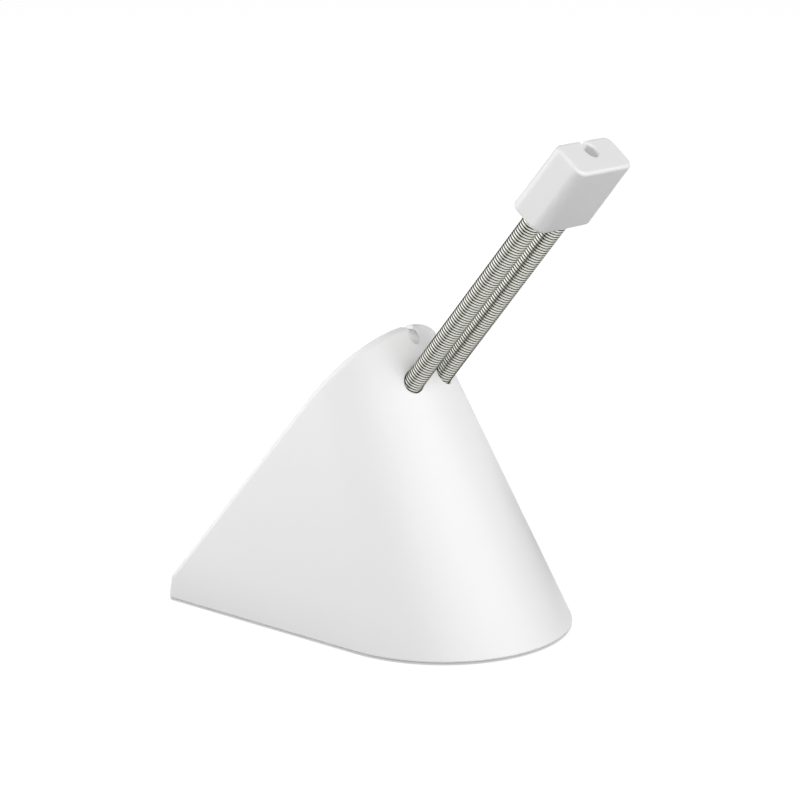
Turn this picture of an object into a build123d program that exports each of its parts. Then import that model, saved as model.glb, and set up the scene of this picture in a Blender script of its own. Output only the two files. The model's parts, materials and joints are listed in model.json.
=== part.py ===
from build123d import *
from math import cos, radians, sin, sqrt, tan
import os

# Mouse bungee: a weighted wedge-shaped stand that carries a mouse's cord on two coil springs.
# Millimetres. +X points forward to the nose, +Z points up, and Y = 0 is the plane of symmetry.
# The origin is on the desk, under the middle of the whole object.

# Moulded shell
origin_from_back = 64.1
base_length = 112.0
base_width = 75.5
lip_height = 5.9
slope_angle = 52.5
side_draft = 10.6
nose_lean = 30.6
wall = 2.4
corner_radius = 2.5
edge_radius = 2.0
rim_radius = 0.5
mouth_radius = 0.3
apex_depth = 11.0

# Keyhole channels that the cord is pressed into
apex_key_radius = 1.95
apex_key_depth = 4.3
apex_slit = 1.9
apex_lip = 1.35
head_key_radius = 2.2
head_key_depth = 4.05
head_slit = 2.0
head_key_round = 0.7

# Spring arm
arm_angle = 50.74
exit_height = 70.6
free_length = 65.3
spring_outside = 5.87
spring_wire = 0.89
spring_spacing = 13.15
coil_sides = 10
exit_gap = 0.15
bore_gap = 0.1

# Sockets for the lower spring ends, and the anchor that closes them
socket_depth = 16.0
socket_wall = 1.8
anchor_thickness = 4.0
anchor_height = 11.0
anchor_margin = 3.6
anchor_post = 11.0

# Clip head
head_length = 22.0
head_width = 24.7
head_thickness = 11.9
head_draft = 0.7
head_front_radius = 3.15
head_back_radius = 2.8
head_end_radius = 1.0
head_socket = 12.0

# Base plate, feet and steel weight
plate_thickness = 2.6
plate_gap = 0.15
rim_lip = 1.4
foot_radius = 5.5
foot_proud = 0.5
foot_recess = 0.9
foot_gap = 0.1
foot_edge = 10.2
front_foot_turn = 38.0
rear_foot_from_back = 11.0
weight_length = 70.0
weight_width = 40.0
weight_thickness = 8.0
weight_from_back = 20.0
weight_corner = 8.0
weight_chamfer = 0.8
weight_screw_spacing = 44.0

# Screws and their bosses
screw_radius = 1.4
screw_head_radius = 2.7
screw_length = 10.0
screw_gap = 0.1
screw_slot = 0.7
boss_radius = 3.6
boss_edge = 10.2
front_boss_turn = 78.0
rear_boss_from_back = 26.0
anchor_screw_spread = 27.0

# Lines and planes that the pieces share
draft = tan(radians(side_draft))
nose_slope = tan(radians(nose_lean))
back_slope = tan(radians(slope_angle))
nose_radius = base_width / 2
back_x = -origin_from_back
nose_x = back_x + base_length - nose_radius
rim_z = foot_proud
plate_top = rim_z + plate_thickness
apex_height = (lip_height + base_length * back_slope) / (1 + nose_slope * back_slope)
slope_normal = (-sin(radians(slope_angle)), 0, cos(radians(slope_angle)))
slope_plane = Plane((back_x, 0, rim_z + lip_height), x_dir=(0, 1, 0), z_dir=slope_normal)
loft_height = apex_height + 2 * edge_radius
half_apex_angle = radians(90 - slope_angle + nose_lean) / 2
crest_z = rim_z + apex_height - edge_radius * (1 / sin(half_apex_angle) - 1)

# The spring axes leave the nose at exit_height. On this plane x is across, y is up from the arm, z is along it.
exit_radius = nose_radius - draft * exit_height
exit_centre_x = nose_x + (draft - nose_slope) * exit_height
exit_x = exit_centre_x + sqrt(exit_radius**2 - (spring_spacing / 2) ** 2)
arm_direction = (cos(radians(arm_angle)), 0, sin(radians(arm_angle)))
arm_plane = Plane((exit_x, 0, rim_z + exit_height), x_dir=(0, 1, 0), z_dir=arm_direction)

spring_radius = spring_outside / 2
spring_bore = spring_radius - spring_wire
socket_radius = spring_radius + exit_gap
post_radius = spring_bore - bore_gap
anchor_width = anchor_screw_spread + 2 * anchor_margin

weight_x = back_x + weight_from_back + weight_length / 2
weight_screw_places = [(weight_x + side * weight_screw_spacing / 2, 0) for side in (-1, 1)]


def corner_places(edge, front_turn, rear_from_back):
    """Front pair set in from the nose's round edge, rear pair set in from the sides."""
    reach = nose_radius - edge
    front_x = nose_x + reach * cos(radians(front_turn))
    front_y = reach * sin(radians(front_turn))
    return {
        "front_left": (front_x, front_y),
        "front_right": (front_x, -front_y),
        "rear_left": (back_x + rear_from_back, reach),
        "rear_right": (back_x + rear_from_back, -reach),
    }


foot_places = corner_places(foot_edge, front_foot_turn, rear_foot_from_back)
boss_places = list(corner_places(boss_edge, front_boss_turn, rear_boss_from_back).values())


def shell_outline(height, inset):
    """Plan of the shell at a height above its rim: half-round nose, straight sides, flat back."""
    radius = nose_radius - draft * height - inset
    centre_x = nose_x + (draft - nose_slope) * height
    rear_x = back_x + inset
    with BuildSketch(Plane.XY.offset(rim_z + height)) as outline:
        with BuildLine():
            Polyline((centre_x, -radius), (rear_x, -radius), (rear_x, radius), (centre_x, radius))
            CenterArc((centre_x, 0), radius, -90, 180)
        make_face()
        fillet(outline.vertices().group_by(Axis.X)[0], max(corner_radius - inset, 0.3))
    return outline.sketch


def shell_levels(height, inset):
    """The outlines at the rim and at a height, between which the shell's walls run straight."""
    return [shell_outline(0, inset), shell_outline(height, inset)]


def screw_seats(places, z):
    """Seats of screws driven from below: local +Z points down, out of the head."""
    return [Pos(x, y, z) * Rot(180, 0, 0) for x, y in places]


# Space inside the shell, with the screw bosses and spring sockets left standing in it
with BuildPart() as hollow:
    loft(shell_levels(loft_height, wall), ruled=True)
    split(bisect_by=slope_plane.offset(-wall), keep=Keep.BOTTOM)
    split(bisect_by=Plane.XY.offset(rim_z + apex_height - apex_depth), keep=Keep.BOTTOM)
    with BuildSketch(arm_plane.offset(-socket_depth)):
        RectangleRounded(anchor_width + 2 * wall, anchor_height + 2 * wall, anchor_margin)
    extrude(amount=-2 * anchor_thickness - screw_radius)
    with BuildSketch(Plane.XY.offset(plate_top)):
        with Locations(*boss_places):
            Circle(boss_radius)
    extrude(amount=apex_height, mode=Mode.SUBTRACT)
    with BuildSketch(arm_plane.offset(-socket_depth)):
        with GridLocations(spring_spacing, 0, 2, 1):
            Circle(socket_radius + socket_wall)
        with GridLocations(anchor_screw_spread, 0, 2, 1):
            Circle(anchor_margin)
    extrude(amount=2 * socket_depth, mode=Mode.SUBTRACT)

with BuildPart() as shell:
    loft(shell_levels(loft_height, 0), ruled=True)
    split(bisect_by=slope_plane, keep=Keep.BOTTOM)
    slope_edges = shell.faces().sort_by(Axis(slope_plane.origin, slope_plane.z_dir))[-1].edges()
    fillet(slope_edges, edge_radius)
    fillet(shell.faces().sort_by(Axis.Z)[0].edges(), rim_radius)
    add(hollow.part, mode=Mode.SUBTRACT)
    loft(shell_levels(plate_thickness, rim_lip), ruled=True, mode=Mode.SUBTRACT)
    with Locations(*screw_seats(boss_places, plate_top)):
        Hole(screw_radius + screw_gap, screw_length)
    with BuildSketch(arm_plane.offset(-socket_depth)):
        with GridLocations(spring_spacing, 0, 2, 1):
            Circle(socket_radius)
    extrude(amount=2 * socket_depth, mode=Mode.SUBTRACT)
    nose_face = shell.faces().filter_by(GeomType.BSPLINE).sort_by(SortBy.AREA)[-1]
    fillet([edge for rim in nose_face.inner_wires() for edge in rim.edges()], mouth_radius)
    with BuildSketch(arm_plane.offset(-socket_depth)):
        with GridLocations(anchor_screw_spread, 0, 2, 1):
            Circle(screw_radius + screw_gap)
    extrude(amount=screw_length - anchor_thickness, mode=Mode.SUBTRACT)
    with BuildSketch(Plane.YZ):
        with Locations((0, crest_z)):
            Rectangle(apex_slit + 2 * apex_lip, 2 * apex_lip)
        with Locations((0, crest_z - apex_lip)):
            with GridLocations(apex_slit + 2 * apex_lip, 0, 2, 1):
                Circle(apex_lip, mode=Mode.SUBTRACT)
        with Locations((0, rim_z + apex_height - apex_key_depth)):
            Circle(apex_key_radius)
            Rectangle(apex_slit, apex_key_depth, align=(Align.CENTER, Align.MIN))
    extrude(amount=base_length, both=True, mode=Mode.SUBTRACT)
shell.part.label = "shell"

with BuildPart() as base_plate:
    loft(shell_levels(plate_thickness, rim_lip + plate_gap), ruled=True)
    with Locations(*screw_seats(boss_places + weight_screw_places, rim_z)):
        CounterSinkHole(
            screw_radius + screw_gap, screw_head_radius + screw_gap, counter_sink_angle=90
        )
    with Locations(*[(x, y, rim_z + foot_recess) for x, y in foot_places.values()]):
        Hole(foot_radius + foot_gap, foot_recess)
base_plate.part.label = "base_plate"

with BuildPart() as weight:
    with BuildSketch(Plane.XY.offset(plate_top)):
        with Locations((weight_x, 0)):
            RectangleRounded(weight_length, weight_width, weight_corner)
    extrude(amount=weight_thickness)
    chamfer(weight.faces().sort_by(Axis.Z)[-1].edges(), weight_chamfer)
    with Locations(*screw_seats(weight_screw_places, plate_top)):
        Hole(screw_radius + screw_gap, weight_thickness)
weight.part.label = "steel_weight"


def countersunk_screws(places, label):
    """Countersunk screws driven up through the base plate, with a cross slot in each head."""
    with BuildPart() as screws:
        with Locations(*screw_seats(places, rim_z)):
            Cylinder(screw_radius, screw_length, align=(Align.CENTER, Align.CENTER, Align.MAX))
            Cone(
                screw_radius,
                screw_head_radius,
                screw_head_radius - screw_radius,
                align=(Align.CENTER, Align.CENTER, Align.MAX),
            )
            for turn in (0, 90):
                Box(
                    2 * screw_radius,
                    screw_slot,
                    2 * screw_slot,
                    rotation=(0, 0, turn),
                    mode=Mode.SUBTRACT,
                )
    screws.part.label = label
    return screws


base_screws = countersunk_screws(boss_places, "base_screws")
weight_screws = countersunk_screws(weight_screw_places, "weight_screws")

feet = []
for place, (x, y) in foot_places.items():
    with BuildPart() as foot:
        with Locations((x, y, 0)):
            Cylinder(
                foot_radius,
                foot_proud + foot_recess,
                align=(Align.CENTER, Align.CENTER, Align.MIN),
            )
        chamfer(foot.edges().sort_by(Axis.Z)[0], foot_proud / 2)
    foot.part.label = f"foot_{place}"
    feet.append(foot)

# Block inside the shell that closes both sockets, with a post up the bore of each spring
with BuildPart() as anchor:
    with BuildSketch(arm_plane.offset(-socket_depth - anchor_thickness)):
        RectangleRounded(anchor_width, anchor_height, anchor_margin)
    extrude(amount=anchor_thickness)
    with BuildSketch(arm_plane.offset(-socket_depth)):
        with GridLocations(spring_spacing, 0, 2, 1):
            Circle(post_radius)
    extrude(amount=anchor_post)
    along_arm = Axis(arm_plane.origin, arm_plane.z_dir)
    chamfer(anchor.edges().group_by(along_arm)[-1], post_radius / 3)
    with BuildSketch(arm_plane.offset(-socket_depth)):
        with GridLocations(anchor_screw_spread, 0, 2, 1):
            Circle(screw_radius + screw_gap)
    extrude(amount=-anchor_thickness, mode=Mode.SUBTRACT)
anchor.part.label = "spring_anchor"

with BuildPart() as anchor_screws:
    with BuildSketch(arm_plane.offset(-socket_depth - anchor_thickness)):
        with GridLocations(anchor_screw_spread, 0, 2, 1):
            Circle(screw_radius)
    extrude(amount=screw_length)
    with BuildSketch(arm_plane.offset(-socket_depth - anchor_thickness)):
        with GridLocations(anchor_screw_spread, 0, 2, 1):
            Circle(screw_head_radius)
    extrude(amount=-screw_radius)
anchor_screws.part.label = "anchor_screws"


def coil_spring(side):
    """Close-wound spring: its turns are drawn as rings at the true pitch, many-sided and V-shaped outside."""
    turns = round(free_length / spring_wire)
    root_radius = spring_radius - spring_wire / 2
    steps = [(-socket_depth, spring_radius)]
    for step in range(2 * turns + 1):
        steps.append((step * spring_wire / 2, root_radius if step % 2 else spring_radius))
    steps.append((free_length + head_socket, spring_radius))
    with BuildPart() as spring:
        for along, radius in steps:
            with BuildSketch(arm_plane.offset(along)):
                with Locations((side * spring_spacing / 2, 0)):
                    RegularPolygon(radius, coil_sides)
        loft(ruled=True)
        with BuildSketch(arm_plane.offset(-socket_depth)):
            with Locations((side * spring_spacing / 2, 0)):
                Circle(spring_bore)
        extrude(amount=socket_depth + free_length + head_socket, mode=Mode.SUBTRACT)
    return spring


spring_left = coil_spring(1)
spring_left.part.label = "spring_left"
spring_right = coil_spring(-1)
spring_right.part.label = "spring_right"

with BuildPart() as head:
    head_bottom = arm_plane.offset(free_length)
    with BuildSketch(head_bottom) as section:
        Rectangle(head_width, head_thickness)
        fillet(section.vertices().group_by(Axis.Y)[0], head_front_radius)
        fillet(section.vertices().group_by(Axis.Y)[-1], head_back_radius)
    extrude(amount=head_length, taper=head_draft)
    fillet(head.faces().sort_by(along_arm)[0].edges(), head_end_radius)
    fillet(head.faces().sort_by(along_arm)[-1].edges(), head_end_radius)
    with BuildSketch(head_bottom):
        with GridLocations(spring_spacing, 0, 2, 1):
            Circle(spring_radius + bore_gap)
            Circle(post_radius, mode=Mode.SUBTRACT)
    extrude(amount=head_socket, mode=Mode.SUBTRACT)
    with BuildSketch(head_bottom):
        with Locations((0, head_thickness / 2 - head_key_depth)):
            Circle(head_key_radius)
            Rectangle(head_slit, head_thickness, align=(Align.CENTER, Align.MIN))
    extrude(amount=head_length, mode=Mode.SUBTRACT)
    key_rims = head.edges(Select.LAST).group_by(along_arm)
    fillet(key_rims[0] + key_rims[-1], head_key_round)
head.part.label = "clip_head"

os.makedirs("parts", exist_ok=True)
pieces = [shell, base_plate, base_screws, weight, weight_screws, anchor, anchor_screws]
pieces += [spring_left, spring_right, head] + feet
for piece in pieces:
    export_step(piece.part, f"parts/{piece.part.label}.step")
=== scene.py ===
# %% [markdown]
# # A mouse bungee, dressed for its photograph
#
# The part is a weighted stand that holds a mouse's cord off the desk: a white moulded wedge, two close-wound
# coil springs that lean forward, and a white clip on top of them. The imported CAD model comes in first, as a
# fixed frame in metres. The lesson then makes what CAD leaves plain: the real wire of the springs, and a
# finish for every piece.

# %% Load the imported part
import json
from math import cos, pi, radians, sin

import bpy
import numpy as np
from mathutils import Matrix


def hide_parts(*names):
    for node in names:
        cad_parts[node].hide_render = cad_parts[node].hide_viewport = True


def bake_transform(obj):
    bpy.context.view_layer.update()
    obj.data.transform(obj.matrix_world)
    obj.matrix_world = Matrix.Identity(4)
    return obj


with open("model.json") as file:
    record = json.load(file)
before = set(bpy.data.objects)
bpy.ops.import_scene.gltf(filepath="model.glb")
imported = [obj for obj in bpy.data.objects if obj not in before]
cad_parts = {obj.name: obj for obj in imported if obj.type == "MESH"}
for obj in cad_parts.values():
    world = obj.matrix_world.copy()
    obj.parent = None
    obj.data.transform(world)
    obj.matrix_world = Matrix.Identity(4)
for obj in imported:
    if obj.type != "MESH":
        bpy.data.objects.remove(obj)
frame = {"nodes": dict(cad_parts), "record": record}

MM = 0.001

scene = bpy.context.scene
nodes = frame["nodes"]
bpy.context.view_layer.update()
print("pieces from CAD:", ", ".join(sorted(nodes)))

# %% [markdown]
# ## The camera
#
# A product shot like this one is taken with a long lens from a little above the desk, so the wedge keeps
# its proportions. The angles, the distance and the focal length were fitted to the outline of the object,
# and the lens is given for a sensor 36 mm wide. Nothing is shifted, so the other views keep the same frame.

# %% Camera
CAMERA_PLACE_MM = (397.4, -485.1, 219.4)
CAMERA_AZIMUTH = 39.713
CAMERA_ELEVATION = 13.957
LENS_MM = 102.33
SENSOR_MM = 36
NEAREST_SEEN_MM = 10

camera = bpy.data.objects.new("camera", bpy.data.cameras.new("camera"))
camera.data.sensor_width = SENSOR_MM
camera.data.lens = LENS_MM
camera.data.clip_start = NEAREST_SEEN_MM * MM
camera.location = np.array(CAMERA_PLACE_MM) * MM
camera.rotation_euler = (radians(90 - CAMERA_ELEVATION), 0, radians(CAMERA_AZIMUTH))
scene.collection.objects.link(camera)
scene.camera = camera
scene.view_settings.view_transform = "Standard"
print("camera at", tuple(round(value, 4) for value in camera.location))

# %% [markdown]
# ## Helpers for the finishes
#
# Colours are picked as sRGB hex values, as a paint chart gives them, and the shader wants linear light. One
# function turns the first into the second. A second function adds any node: its settings are its
# properties, and its inputs are either sockets to link or plain values.

# %% Colour and node helpers
def linear(hex_colour):
    """sRGB hex to linear RGBA: c / 12.92 below 0.04045, else ((c + 0.055) / 1.055) ** 2.4."""
    channels = np.array([int(hex_colour[i:i + 2], 16) for i in (1, 3, 5)]) / 255
    low = channels / 12.92
    high = ((channels + 0.055) / 1.055) ** 2.4
    return (*np.where(channels <= 0.04045, low, high), 1.0)


def add_node(tree, kind, inputs=(), **settings):
    """One node: properties are set first, then each named input is linked to a socket or given a value."""
    node = tree.nodes.new(kind)
    for name, value in settings.items():
        setattr(node, name, value)
    for name, value in dict(inputs).items():
        if isinstance(value, bpy.types.NodeSocket):
            tree.links.new(value, node.inputs[name])
        else:
            node.inputs[name].default_value = value
    return node


def new_finish(name):
    """An empty node material, and its tree."""
    finish = bpy.data.materials.new(name)
    finish.use_nodes = True
    finish.node_tree.nodes.clear()
    return finish, finish.node_tree


print("mid grey #808080 in linear light:", round(float(linear("#808080")[0]), 3))

# %% [markdown]
# ## White moulded ABS
#
# The shell and the clip are injection-moulded ABS in plain white, from a polished tool that was lightly
# blasted. To the eye that is a near-white with a wide soft highlight and almost no grain. The grit of the
# tool is about a fifth of a millimetre across, too fine to show from this far, so it is drawn at 0.6 mm and
# only a few thousandths of a millimetre deep. A slow change in gloss stands for handling. The clip's white
# is a shade greyer, which is painted shade that dims it under these lamps.
#
# Inside the two keyhole channels for the cord the white turns grey: painted shade for the dimness deep in
# the holes. The frame's record gives each channel as a mount, with a point, a direction and a radius.
# The shaded skin is found by its distance from that line, |(p - a) x d|, and needs no map.

# %% White ABS
ABS_IOR = 1.53
ABS_ROUGHNESS = (0.40, 0.48)
ABS_GRAIN_MM = 0.6
ABS_GRAIN_DEPTH_MM = 0.002
ABS_CLOUD_MM = 18
# Painted shade inside the keyhole channels.
CHANNEL_SHADE_GREY = "#DCDCDC"


def moulded_white(name, white, keyhole, fade_mm):
    """White ABS with painted shade inside a keyhole's channel, which fades out just past its wall."""
    finish, tree = new_finish(name)
    place = add_node(tree, "ShaderNodeTexCoord").outputs["Object"]
    grain = add_node(tree, "ShaderNodeTexNoise", {
        "Vector": place, "Scale": 1 / (ABS_GRAIN_MM * MM), "Detail": 2.0})
    cloud = add_node(tree, "ShaderNodeTexNoise", {
        "Vector": place, "Scale": 1 / (ABS_CLOUD_MM * MM), "Detail": 1.0})
    gloss = add_node(tree, "ShaderNodeMapRange", {
        "Value": cloud.outputs["Fac"], "To Min": ABS_ROUGHNESS[0], "To Max": ABS_ROUGHNESS[1]})
    bump = add_node(tree, "ShaderNodeBump", {
        "Height": grain.outputs["Fac"], "Strength": 1.0, "Distance": ABS_GRAIN_DEPTH_MM * MM})
    offset = add_node(tree, "ShaderNodeVectorMath", {
        0: place, 1: keyhole["pos_m"]}, operation="SUBTRACT")
    moment = add_node(tree, "ShaderNodeVectorMath", {
        0: offset.outputs["Vector"], 1: keyhole["axis"]}, operation="CROSS_PRODUCT")
    away = add_node(tree, "ShaderNodeVectorMath", {0: moment.outputs["Vector"]}, operation="LENGTH")
    wall_mm = keyhole["dims"]["r_mm"]
    # Painted shade: grey inside the channel, fading out just past its wall.
    channel = add_node(tree, "ShaderNodeMapRange", {
        "Value": away.outputs["Value"], "From Min": (wall_mm + fade_mm) * MM, "From Max": wall_mm * MM},
        interpolation_type="SMOOTHSTEP")
    tone = add_node(tree, "ShaderNodeMix", {
        "Factor": channel.outputs["Result"], "A": linear(white), "B": linear(CHANNEL_SHADE_GREY)},
        data_type="RGBA")
    surface = add_node(tree, "ShaderNodeBsdfPrincipled", {
        "Base Color": tone.outputs["Result"], "IOR": ABS_IOR,
        "Roughness": gloss.outputs["Result"], "Normal": bump.outputs["Normal"]})
    add_node(tree, "ShaderNodeOutputMaterial", {"Surface": surface.outputs["BSDF"]})
    print("finish:", finish.name)
    return finish


mounts = {mount["name"]: mount for mount in frame["record"]["mounts"]}
shell_white = moulded_white("white_abs_satin_shell", "#EFEFEF", mounts["apex_keyhole"], fade_mm=0.2)
# The clip's white is a shade greyer than the shell's: painted shade.
clip_shaded_white = moulded_white("white_abs_satin_clip", "#EAEAEA", mounts["head_keyhole"], fade_mm=0.6)

# %% [markdown]
# ## Spring steel
#
# The springs are cold-drawn steel wire with a thin nickel plate, which is why they stay bright with a faint
# warm tint. The drawing die leaves fine lines along the wire. They are far below a pixel here, so each
# streak is drawn a third of the way around the wire. Painted shade darkens the wire away from its
# outermost line, which draws the thin dark line where the turns touch. A thin oily film, drawn as a grey
# specular tint, dulls the wire at grazing angles. The streaks and the painted shade are read from the
# wire's own map: u counts turns and v goes once around the wire, from its outermost line. The shade
# follows the cosine of the angle from that line.

# %% Spring steel
STREAKS_PER_TURN = 1.7
STREAKS_AROUND = 3.0
TURN_SHADE_BEGINS = 0.90
TURN_SHADE_FULL = 0.56
WIRE_ROUGHNESS = (0.14, 0.28)

spring_steel, tree = new_finish("spring_steel_nickel_plated")
wire_map = add_node(tree, "ShaderNodeUVMap", uv_map="wire").outputs["UV"]
stretched = add_node(tree, "ShaderNodeMapping", {
    "Vector": wire_map, "Scale": (STREAKS_PER_TURN, STREAKS_AROUND, 1.0)})
streaks = add_node(tree, "ShaderNodeTexNoise", {
    "Vector": stretched.outputs["Vector"], "Scale": 1.0, "Detail": 3.0})
bright = add_node(tree, "ShaderNodeMix", {
    "Factor": streaks.outputs["Fac"], "A": linear("#C8C8C0"), "B": linear("#E4E4DD")}, data_type="RGBA")
around = add_node(tree, "ShaderNodeSeparateXYZ", {"Vector": wire_map}).outputs["Y"]
turned = add_node(tree, "ShaderNodeMath", {0: around, 1: 2 * pi}, operation="MULTIPLY")
outward = add_node(tree, "ShaderNodeMath", {0: turned.outputs["Value"]}, operation="COSINE")
# Painted shade: the wire darkens away from its outermost line, toward where the turns touch.
turn_shade = add_node(tree, "ShaderNodeMapRange", {
    "Value": outward.outputs["Value"], "From Min": TURN_SHADE_BEGINS, "From Max": TURN_SHADE_FULL},
    interpolation_type="SMOOTHSTEP")
tone = add_node(tree, "ShaderNodeMix", {
    "Factor": turn_shade.outputs["Result"], "A": bright.outputs["Result"], "B": linear("#33322E")},
    data_type="RGBA")
gloss = add_node(tree, "ShaderNodeMapRange", {
    "Value": streaks.outputs["Fac"], "To Min": WIRE_ROUGHNESS[0], "To Max": WIRE_ROUGHNESS[1]})
surface = add_node(tree, "ShaderNodeBsdfPrincipled", {
    "Base Color": tone.outputs["Result"], "Metallic": 1.0, "Roughness": gloss.outputs["Result"],
    "Specular Tint": linear("#4A4A46")})
add_node(tree, "ShaderNodeOutputMaterial", {"Surface": surface.outputs["BSDF"]})
print("finish:", spring_steel.name)

# %% [markdown]
# ## The frame of the arm
#
# Both springs lie along the arm, which leaves the nose at 50.74 degrees. A coil that was made upright would
# have to be turned into place. Instead the arm gets its own frame: along it, across it, and up from it.
# Every point of the wire is then worked out where it lies. The sizes are those of the CAD model.

# %% Frame of the arm
ARM_ANGLE = 50.74
ARM_START_MM = (5.25, 0, 71.1)

along_arm = np.array([cos(radians(ARM_ANGLE)), 0, sin(radians(ARM_ANGLE))])
up_from_arm = np.array([-sin(radians(ARM_ANGLE)), 0, cos(radians(ARM_ANGLE))])
across_arm = np.array([0, 1, 0])


# %% [markdown]
# ## The two coil springs
#
# Each spring is one round wire of 0.89 mm, close wound to 5.87 mm outside, so every turn touches the next.
# CAD draws the turns as rings with a few flat sides. Here the real helix is worked out: a circle of the
# wire's size is carried along a winding line. A curve with a round bevel would do that too, but its map
# wouldn't count the turns. The arm bends in use, low down near the shell, and its top sways from side to
# side. Each spring is made in two lengths that meet end to end.

# %% Sizes of the springs
WIRE_MM = 0.89
SPRING_OUTSIDE_MM = 5.87
SPRING_SPACING_MM = 13.15
SPRING_FOOT_MM = -16.0
SPRING_TOP_MM = 77.2
SPLIT_MM = 30 * WIRE_MM
COIL_RADIUS_MM = (SPRING_OUTSIDE_MM - WIRE_MM) / 2
print("turns of each spring:", round((SPRING_TOP_MM - SPRING_FOOT_MM) / WIRE_MM, 1))

# %% Spring wire as a swept circle
STEPS_PER_TURN = 40
WIRE_SIDES = 12


def wound_wire(from_mm, to_mm, across_mm):
    """Grid of points of a wound wire, and the turn of each ring. With t the angle of winding and s the
    angle around the wire: centre c(t) = axis + R (cos t, sin t) + rise t, and point = c + r (out cos s +
    over sin s), where out points away from the axis and over is at right angles to it and to the wire."""
    turns = np.array([from_mm, to_mm]) / WIRE_MM
    rings = int(round((turns[1] - turns[0]) * STEPS_PER_TURN)) + 1
    turn = np.linspace(turns[0], turns[1], rings)[:, None, None]
    around = np.linspace(0, 2 * pi, WIRE_SIDES, endpoint=False)[None, :, None]
    angle = 2 * pi * turn
    out = np.cos(angle) * across_arm + np.sin(angle) * up_from_arm
    run = 2 * pi * COIL_RADIUS_MM * (np.cos(angle) * up_from_arm - np.sin(angle) * across_arm)
    tangent = run + WIRE_MM * along_arm
    tangent = tangent / np.linalg.norm(tangent, axis=2, keepdims=True)
    over = np.cross(tangent, out)
    axis = np.array(ARM_START_MM) + across_mm * across_arm + turn * WIRE_MM * along_arm
    centre = axis + COIL_RADIUS_MM * out
    points = centre + WIRE_MM / 2 * (np.cos(around) * out + np.sin(around) * over)
    return points * MM, turn[:, 0, 0]


print("wire in one turn:", round(float(np.hypot(2 * pi * COIL_RADIUS_MM, WIRE_MM)), 2), "mm")

# %% Mesh of a wire, with its map
INNERMOST = 0.5


def wire_mesh(name, points, turn):
    """Mesh of a swept ring: quads between neighbouring rings, and one flat face on each cut end. The map has
    u = turn and v = share of the way around the wire, and the cut ends get the painted shade of its
    innermost line."""
    rings, sides = points.shape[:2]
    index = np.arange(rings * sides).reshape(rings, sides)
    onward = np.roll(index, -1, axis=1)
    quads = np.stack([index[:-1], index[1:], onward[1:], onward[:-1]], axis=2).reshape(-1, 4)
    ends = [index[0].tolist(), index[-1][::-1].tolist()]
    mesh = bpy.data.meshes.new(name)
    mesh.from_pydata(points.reshape(-1, 3), [], quads.tolist() + ends)
    step = np.arange(sides) / sides
    u = np.stack([turn[:-1], turn[1:], turn[1:], turn[:-1]], axis=1)[:, None, :].repeat(sides, axis=1)
    v = np.stack([step, step, step + 1 / sides, step + 1 / sides], axis=1)[None].repeat(rings - 1, axis=0)
    side_map = np.stack([u, v], axis=3).reshape(-1, 2)
    end_map = np.full((2 * sides, 2), INNERMOST)
    wire_map = mesh.uv_layers.new(name="wire")
    wire_map.data.foreach_set("uv", np.concatenate([side_map, end_map]).astype(np.float32).ravel())
    mesh.shade_smooth()
    return mesh


# %% Both springs, each in two lengths
for name, side in (("spring_left", 1), ("spring_right", -1)):
    across = side * SPRING_SPACING_MM / 2
    lengths = {"lower": (SPRING_FOOT_MM, SPLIT_MM), "upper": (SPLIT_MM, SPRING_TOP_MM)}
    for part, (start, end) in lengths.items():
        points, turn = wound_wire(start, end, across)
        coil = bpy.data.objects.new(f"{name}_{part}", wire_mesh(f"{name}_{part}", points, turn))
        scene.collection.objects.link(coil)
        coil.data.materials.append(spring_steel)
        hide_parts(name)
        if part == "lower":
            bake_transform(coil)
        else:
            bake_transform(coil)
        print(coil.name, len(coil.data.polygons), "faces")

# %% [markdown]
# ## Black ABS and rubber
#
# The plate and the anchor are black ABS from a spark-eroded tool, which leaves an even fine grain. The feet
# are matte rubber with the dust that rubber picks up. Both are dark skins whose one noise sets the tint, the
# gloss and the height, so one function makes them, and the grain size in millimetres tells them apart.

# %% Dark moulded skins
def dark_skin(name, dark, light, ior, roughness, noise, grain_mm, relief, depth_mm):
    """Dark plastic or rubber whose tint, roughness and height all follow one noise of a given grain."""
    finish, tree = new_finish(name)
    place = add_node(tree, "ShaderNodeTexCoord").outputs["Object"]
    grain = add_node(tree, "ShaderNodeTexNoise", {
        "Vector": place, "Scale": 1 / (grain_mm * MM), **noise}).outputs["Fac"]
    tone = add_node(tree, "ShaderNodeMix", {
        "Factor": grain, "A": linear(dark), "B": linear(light)}, data_type="RGBA")
    gloss = add_node(tree, "ShaderNodeMapRange", {
        "Value": grain, "To Min": roughness[0], "To Max": roughness[1]})
    bump = add_node(tree, "ShaderNodeBump", {
        "Height": grain, "Strength": relief, "Distance": depth_mm * MM})
    surface = add_node(tree, "ShaderNodeBsdfPrincipled", {
        "Base Color": tone.outputs["Result"], "IOR": ior,
        "Roughness": gloss.outputs["Result"], "Normal": bump.outputs["Normal"]})
    add_node(tree, "ShaderNodeOutputMaterial", {"Surface": surface.outputs["BSDF"]})
    print("finish:", finish.name)
    return finish


black_abs = dark_skin(
    "black_abs_spark_grain", "#141415", "#232324", ior=ABS_IOR, roughness=(0.62, 0.46),
    noise={"Detail": 3.0}, grain_mm=0.35, relief=0.6, depth_mm=0.02)
foot_rubber = dark_skin(
    "foot_rubber_matte", "#1A1A1A", "#303030", ior=1.52, roughness=(0.75, 0.95),
    noise={"Detail": 4.0, "Roughness": 0.65}, grain_mm=1.5, relief=0.5, depth_mm=0.03)

# %% [markdown]
# ## Zinc plate and sawn steel
#
# The screws are zinc plated, bright with a faint blue cast and a fine crystal grain that is the same every
# way. The weight is a sawn block of mild steel, whose saw lines are long one way and a quarter of a
# millimetre the other. A noise with its own grain length along each axis gives both.

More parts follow.
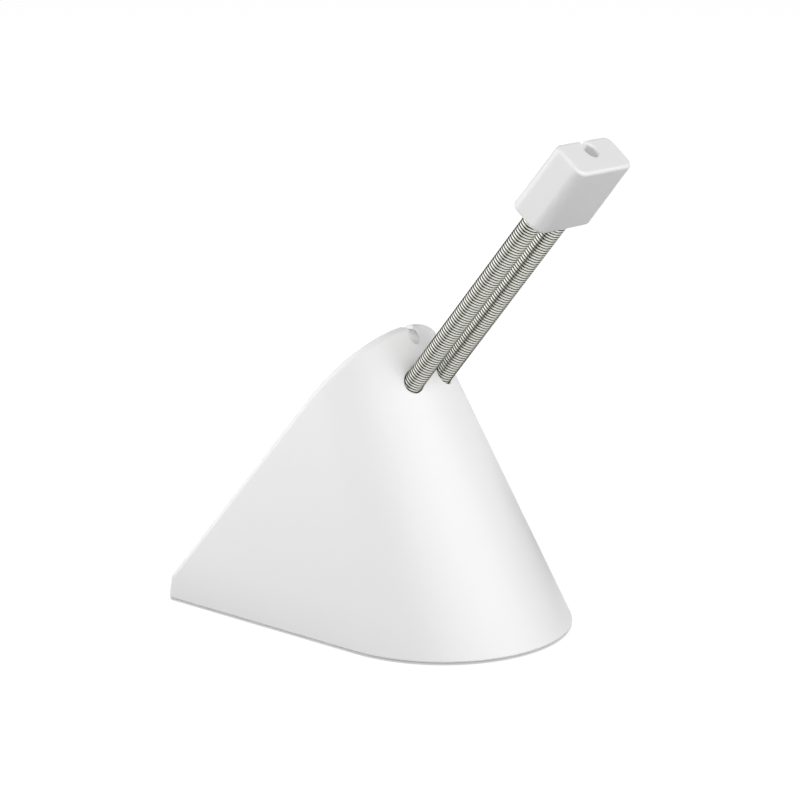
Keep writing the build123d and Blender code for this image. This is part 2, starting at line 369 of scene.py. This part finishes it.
# %% Zinc plate and sawn steel
def metal_finish(name, dark, light, roughness, grain_mm):
    """Bare metal whose tint and roughness follow one noise, with a grain length in mm along each axis."""
    finish, tree = new_finish(name)
    place = add_node(tree, "ShaderNodeTexCoord").outputs["Object"]
    grid = add_node(tree, "ShaderNodeMapping", {
        "Vector": place, "Scale": tuple(1 / (size * MM) for size in grain_mm)})
    grain = add_node(tree, "ShaderNodeTexNoise", {
        "Vector": grid.outputs["Vector"], "Scale": 1.0, "Detail": 3.0}).outputs["Fac"]
    tone = add_node(tree, "ShaderNodeMix", {
        "Factor": grain, "A": linear(dark), "B": linear(light)}, data_type="RGBA")
    gloss = add_node(tree, "ShaderNodeMapRange", {
        "Value": grain, "To Min": roughness[0], "To Max": roughness[1]})
    surface = add_node(tree, "ShaderNodeBsdfPrincipled", {
        "Base Color": tone.outputs["Result"], "Metallic": 1.0, "Roughness": gloss.outputs["Result"]})
    add_node(tree, "ShaderNodeOutputMaterial", {"Surface": surface.outputs["BSDF"]})
    print("finish:", finish.name)
    return finish


zinc = metal_finish(
    "steel_zinc_plated", "#A9ADB3", "#CDD0D4", roughness=(0.38, 0.24), grain_mm=(0.4, 0.4, 0.4))
sawn_steel = metal_finish(
    "mild_steel_sawn", "#6A6967", "#8D8C8A", roughness=(0.58, 0.40), grain_mm=(12.0, 0.25, 0.25))

# %% [markdown]
# ## Dressing the CAD pieces
#
# The CAD pieces keep their meshes, which hold the part's true sizes, and only get their finishes here. The
# two springs are missing from the list, because the wound wire stands in their place.

# %% Finishes for the CAD pieces
finishes = {
    shell_white: ["shell"],
    clip_shaded_white: ["clip_head"],
    black_abs: ["base_plate", "spring_anchor"],
    zinc: ["base_screws", "weight_screws", "anchor_screws"],
    sawn_steel: ["steel_weight"],
    foot_rubber: ["foot_front_left", "foot_front_right", "foot_rear_left", "foot_rear_right"],
}
for finish, names in finishes.items():
    for name in names:
        nodes[name].data.materials[0] = finish
print("dressed:", sum(len(names) for names in finishes.values()), "CAD pieces")

# %% [markdown]
# ## Floor and room
#
# The photograph has a plain white ground. To the camera and in reflections the floor is mostly a white glow,
# with a share of real paper that takes the object's shadow. The glow goes out where something stands less
# than a millimetre above it, which paints the thin shadow line under the shell's rim. To all other light the
# floor is grey paper with painted shade, darkest round the object, so the undersides stay as dim as they are
# on a desk. The room around is white where it is seen and a weak even light where it is not.

# %% Floor mesh
FLOOR_WIDTH_M = 6.0

floor_mesh = bpy.data.meshes.new("floor")
corners = np.array([(-1, -1, 0), (1, -1, 0), (1, 1, 0), (-1, 1, 0)]) * FLOOR_WIDTH_M / 2
floor_mesh.from_pydata(corners, [], [(0, 1, 2, 3)])
floor = bpy.data.objects.new("floor", floor_mesh)
scene.collection.objects.link(floor)
print("floor:", FLOOR_WIDTH_M, "m wide")


# %% Rays that see the white ground
def seen_directly(tree):
    """1 for rays from the camera, and for those that a mirror or a clear body passes on, else 0."""
    ray = add_node(tree, "ShaderNodeLightPath").outputs
    mirrored = add_node(tree, "ShaderNodeMath", {
        0: ray["Is Glossy Ray"], 1: ray["Is Transmission Ray"]}, operation="MAXIMUM")
    seen = add_node(tree, "ShaderNodeMath", {
        0: ray["Is Camera Ray"], 1: mirrored.outputs["Value"]}, operation="MAXIMUM")
    return seen.outputs["Value"]


# %% Floor finish
WHITE = (1, 1, 1, 1)
FLOOR_GLOW = 1.08
PAPER_SHARE = 0.12
RIM_SHADOW_MM = 0.7
DESK_REACH_M = (0.06, 0.40)
DESK_SHADE_GREY = (0.03, 0.48)

floor_finish, tree = new_finish("floor_white_paper")
place = add_node(tree, "ShaderNodeTexCoord").outputs["Object"]
reach = add_node(tree, "ShaderNodeVectorMath", {0: place}, operation="LENGTH")
# Painted shade on the desk: its grey is darkest round the object, as the object's shadow would make it.
shade = add_node(tree, "ShaderNodeMapRange", {
    "Value": reach.outputs["Value"], "From Min": DESK_REACH_M[0], "From Max": DESK_REACH_M[1],
    "To Min": DESK_SHADE_GREY[0], "To Max": DESK_SHADE_GREY[1]})
desk = add_node(tree, "ShaderNodeBsdfDiffuse", {"Color": shade.outputs["Result"]})
paper = add_node(tree, "ShaderNodeBsdfDiffuse", {"Color": WHITE})
# Painted shadow: the glow dims where something stands less than RIM_SHADOW_MM above the floor.
open_above = add_node(tree, "ShaderNodeAmbientOcclusion", {"Distance": RIM_SHADOW_MM * MM}, samples=4)
strength = add_node(tree, "ShaderNodeMath", {
    0: open_above.outputs["AO"], 1: FLOOR_GLOW}, operation="MULTIPLY")
glow = add_node(tree, "ShaderNodeEmission", {"Color": WHITE, "Strength": strength.outputs["Value"]})
ground = add_node(tree, "ShaderNodeMixShader", {
    0: PAPER_SHARE, 1: glow.outputs["Emission"], 2: paper.outputs["BSDF"]})
mixed = add_node(tree, "ShaderNodeMixShader", {
    0: seen_directly(tree), 1: desk.outputs["BSDF"], 2: ground.outputs["Shader"]})
add_node(tree, "ShaderNodeOutputMaterial", {"Surface": mixed.outputs["Shader"]})
floor_mesh.materials.append(floor_finish)
print("finish:", floor_finish.name)

# %% Room
ROOM_LIGHT = 0.3

world = bpy.data.worlds.new("white_studio")
scene.world = world
world.use_nodes = True
tree = world.node_tree
tree.nodes.clear()
strength = add_node(tree, "ShaderNodeMapRange", {
    "Value": seen_directly(tree), "To Min": ROOM_LIGHT, "To Max": 1.0})
sky = add_node(tree, "ShaderNodeBackground", {"Color": WHITE, "Strength": strength.outputs["Result"]})
add_node(tree, "ShaderNodeOutputWorld", {"Surface": sky.outputs["Background"]})
print("room light:", ROOM_LIGHT)

# %% [markdown]
# ## Softboxes
#
# A wide softbox in front gives the nose its broad soft light. A low one, behind the left shoulder, lights
# the side wall, so a faint dark band stays where the wall turns into the nose. Two weak fills lift the clip
# and the far edge of the nose. None of the lamps shows in reflections: what the bright wire mirrors is set
# by the cards of the next step.

# %% Softboxes
STUDIO_MIDDLE_M = np.array([0, 0, 0.07])
LAMP_DISTANCE_M = 1.6


def toward(azimuth, elevation):
    """Unit vectors (cos e cos a, cos e sin a, sin e): azimuth 0 is +X, 90 is +Y, and elevation 90 is up."""
    a, e = np.radians(azimuth), np.radians(elevation)
    parts = np.broadcast_arrays(np.cos(e) * np.cos(a), np.cos(e) * np.sin(a), np.sin(e))
    return np.stack(parts, axis=-1)


def softbox(name, azimuth, elevation, size, watts):
    """Rectangular lamp that looks at the middle of the object and isn't mirrored in it."""
    lamp = bpy.data.lights.new(name, "AREA")
    lamp.shape = "RECTANGLE"
    lamp.size, lamp.size_y = size
    lamp.energy = watts
    ob = bpy.data.objects.new(name, lamp)
    ob.location = STUDIO_MIDDLE_M + LAMP_DISTANCE_M * toward(azimuth, elevation)
    ob.rotation_euler = (radians(90 - elevation), 0, radians(azimuth + 90))
    ob.visible_glossy = False
    scene.collection.objects.link(ob)
    print(name, watts, "W")


softbox("front_softbox", azimuth=-14, elevation=27, size=(2.0, 1.4), watts=22.9)
softbox("left_softbox", azimuth=-148, elevation=14, size=(1.6, 0.6), watts=20.3)
softbox("camera_fill", azimuth=-55, elevation=3, size=(1.6, 0.5), watts=1.9)
softbox("right_fill", azimuth=100, elevation=10, size=(1.4, 1.0), watts=5.4)

# %% [markdown]
# ## Cards and flags
#
# Bright wire on a white ground needs something to mirror, or every turn looks like paper. A photographer
# sets white cards and black flags around the shot for that. Here they are curved sheets that only
# reflections see, so they throw no shadow on the white pieces and add only a faint gloss to them. One more
# sheet is a cutter: it only throws a shadow, and keeps the left softbox off the foot of the side wall.

# %% Card and flag finishes
def lit_card(name, strength):
    """White card that shines evenly, as one does with a lamp on it."""
    finish, tree = new_finish(name)
    shine = add_node(tree, "ShaderNodeEmission", {"Color": WHITE, "Strength": strength})
    add_node(tree, "ShaderNodeOutputMaterial", {"Surface": shine.outputs["Emission"]})
    print("finish:", finish.name)
    return finish


flag_cloth, tree = new_finish("flag_black_cloth")
cloth = add_node(tree, "ShaderNodeBsdfDiffuse", {"Color": linear("#101010")})
add_node(tree, "ShaderNodeOutputMaterial", {"Surface": cloth.outputs["BSDF"]})
print("finish:", flag_cloth.name)

# %% Curved sheets
SHEET_STEPS = 9


def sheet(name, azimuths, elevations, distance, finish, cuts_light=False):
    """Curved sheet between two azimuths and two elevations, which is mirrored or else throws a shadow:
    point = middle + distance times the direction at that azimuth and elevation."""
    columns = np.linspace(*azimuths, SHEET_STEPS)[None, :]
    rows = np.linspace(*elevations, SHEET_STEPS)[:, None]
    points = STUDIO_MIDDLE_M + distance * toward(columns, rows)
    index = np.arange(SHEET_STEPS ** 2).reshape(SHEET_STEPS, SHEET_STEPS)
    quads = np.stack([index[:-1, :-1], index[:-1, 1:], index[1:, 1:], index[1:, :-1]], axis=2)
    mesh = bpy.data.meshes.new(name)
    mesh.from_pydata(points.reshape(-1, 3), [], quads.reshape(-1, 4).tolist())
    mesh.materials.append(finish)
    ob = bpy.data.objects.new(name, mesh)
    ob.visible_camera = False
    ob.visible_diffuse = False
    ob.visible_glossy = not cuts_light
    ob.visible_shadow = cuts_light
    scene.collection.objects.link(ob)
    print(name, "at", distance, "m")


# %% Sheets around the shot: azimuths, elevations, distance in metres, finish
sheet("card_left", (-178, -115), (-2, 50), 1.4, lit_card("card_left_lit", strength=1.68))
sheet("card_front", (-34, -4), (3, 45), 1.5, lit_card("card_front_lit", strength=1.92))
sheet("card_right", (-4, 45), (-2, 45), 1.5, lit_card("card_right_lit", strength=2.1))
sheet("flag_left", (-82, -48), (3, 45), 1.3, flag_cloth)
sheet("flag_right", (50, 120), (24, 75), 1.9, flag_cloth)
sheet("flag_back_left", (125, 175), (-2, 45), 1.3, flag_cloth)
sheet("flag_beside_arm", (40, 90), (-40, -12), 0.1, flag_cloth)
sheet("cutter_low", (-172, -118), (-17.4, -11), 0.22, flag_cloth, cuts_light=True)
